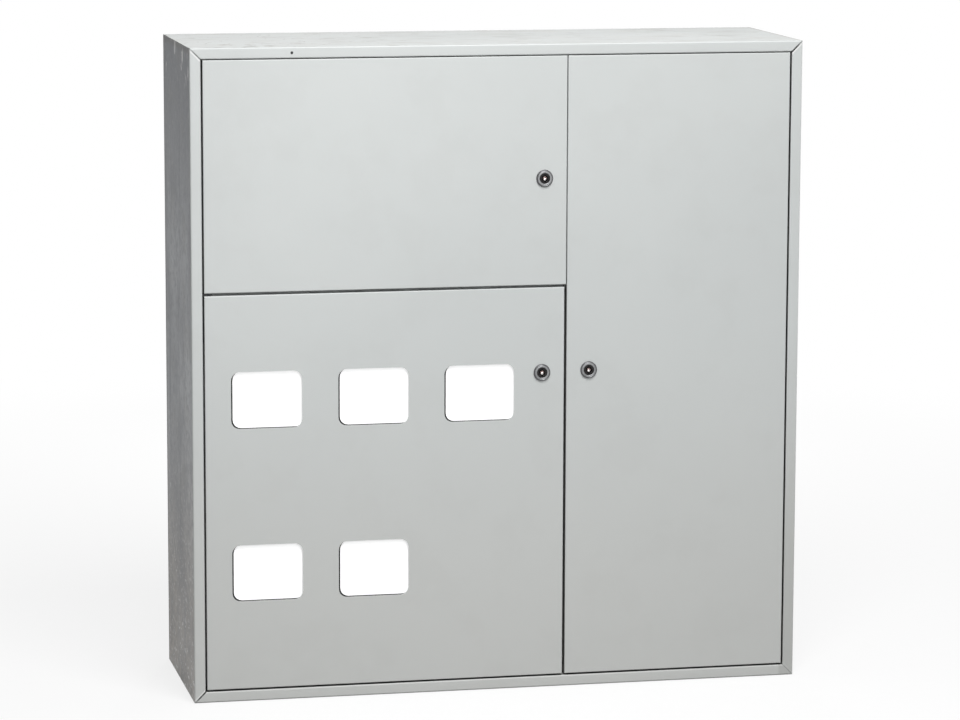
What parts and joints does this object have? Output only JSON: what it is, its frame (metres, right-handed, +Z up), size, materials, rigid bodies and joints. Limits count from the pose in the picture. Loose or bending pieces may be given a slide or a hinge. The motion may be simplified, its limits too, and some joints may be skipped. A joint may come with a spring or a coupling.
{
  "type": "electricity metering board",
  "caption": "Grey sheet-steel board with three flush doors on concealed hinges, quarter-turn locks and five white meter windows.",
  "frame": {"origin": "bottom centre of the outer box, on the surface that the board stands on", "axes": "+Z up, the doors face -Y, +X is to the right as seen from the front"},
  "size_m": [0.95, 0.303, 1],
  "materials": {
    "grey_powder_coat": "satin fine orange-peel powder coat, light grey",
    "zinc_plate": "bright zinc plated steel",
    "lock_die_cast": "nickel plated zinc die casting",
    "lock_dark_insert": "dark burnished steel",
    "black_rubber": "matt black EPDM",
    "opal_acrylic": "white opal acrylic sheet",
    "galvanised_sheet": "galvanised sheet with fine spangle",
    "brass_bar": "drawn brass",
    "red_insulator": "moulded polyester insulator"
  },
  "bodies": {
    "enclosure": {"left_side_wall": "grey_powder_coat", "right_side_wall": "grey_powder_coat", "top_wall": "grey_powder_coat", "bottom_wall": "grey_powder_coat", "back_panel": "grey_powder_coat", "vertical_divider": "grey_powder_coat", "divider_stop_angle": "grey_powder_coat", "shelf_divider": "grey_powder_coat", "shelf_stop_angle": "grey_powder_coat", "gland_plate_left": "grey_powder_coat", "gland_plate_right": "grey_powder_coat", "breaker_door_top_pin": "zinc_plate", "left_doors_middle_pin": "zinc_plate", "meter_door_bottom_pin": "zinc_plate", "telecom_door_top_pin": "zinc_plate", "telecom_door_bottom_pin": "zinc_plate", "middle_hinge_lug": "zinc_plate", "breaker_din_rail_lower": "zinc_plate", "breaker_din_rail_upper": "zinc_plate", "rail_upright_left": "galvanised_sheet", "rail_upright_right": "galvanised_sheet", "meter_plate_upper": "galvanised_sheet", "meter_plate_lower": "galvanised_sheet", "telecom_board": "galvanised_sheet", "earth_bar": "brass_bar", "earth_bar_post_left": "red_insulator", "earth_bar_post_right": "red_insulator"},
    "breaker_door": {"breaker_door": "grey_powder_coat", "breaker_lock_barrel": "lock_die_cast", "breaker_lock_nut": "zinc_plate"},
    "meter_door": {"meter_door": "grey_powder_coat", "meter_lock_barrel": "lock_die_cast", "meter_lock_nut": "zinc_plate", "window_seal_1": "black_rubber", "window_seal_2": "black_rubber", "window_seal_3": "black_rubber", "window_seal_4": "black_rubber", "window_seal_5": "black_rubber", "window_pane_1": "opal_acrylic", "window_pane_2": "opal_acrylic", "window_pane_3": "opal_acrylic", "window_pane_4": "opal_acrylic", "window_pane_5": "opal_acrylic", "glazing_rail_upper_top": "galvanised_sheet", "glazing_rail_upper_bottom": "galvanised_sheet", "glazing_rail_lower_top": "galvanised_sheet", "glazing_rail_lower_bottom": "galvanised_sheet"},
    "telecom_door": {"telecom_door": "grey_powder_coat", "telecom_lock_barrel": "lock_die_cast", "telecom_lock_nut": "zinc_plate"},
    "breaker_lock": {"breaker_lock_rotor": "lock_dark_insert", "breaker_lock_cam": "zinc_plate", "breaker_cam_screw": "zinc_plate"},
    "meter_lock": {"meter_lock_rotor": "lock_dark_insert", "meter_lock_cam": "zinc_plate", "meter_cam_screw": "zinc_plate"},
    "telecom_lock": {"telecom_lock_rotor": "lock_dark_insert", "telecom_lock_cam": "zinc_plate", "telecom_cam_screw": "zinc_plate"}
  },
  "joints": [
    {"name": "breaker_door_hinge", "type": "hinge", "parent": "enclosure", "child": "breaker_door", "pos_m": [-0.4475, -0.143, 0.8], "axis": [0, 0, -1], "range_deg": [0, 115]},
    {"name": "meter_door_hinge", "type": "hinge", "parent": "enclosure", "child": "meter_door", "pos_m": [-0.4475, -0.143, 0.32], "axis": [0, 0, -1], "range_deg": [0, 115]},
    {"name": "telecom_door_hinge", "type": "hinge", "parent": "enclosure", "child": "telecom_door", "pos_m": [0.4475, -0.143, 0.5], "axis": [0, 0, 1], "range_deg": [0, 115]},
    {"name": "breaker_lock_turn", "type": "hinge", "parent": "breaker_door", "child": "breaker_lock", "pos_m": [0.0685, -0.1485, 0.79505], "axis": [0, -1, 0], "range_deg": [0, 90]},
    {"name": "meter_lock_turn", "type": "hinge", "parent": "meter_door", "child": "meter_lock", "pos_m": [0.0659, -0.1485, 0.4955], "axis": [0, -1, 0], "range_deg": [0, 90]},
    {"name": "telecom_lock_turn", "type": "hinge", "parent": "telecom_door", "child": "telecom_lock", "pos_m": [0.1397, -0.1485, 0.4975], "axis": [0, 1, 0], "range_deg": [0, 90]}
  ]
}
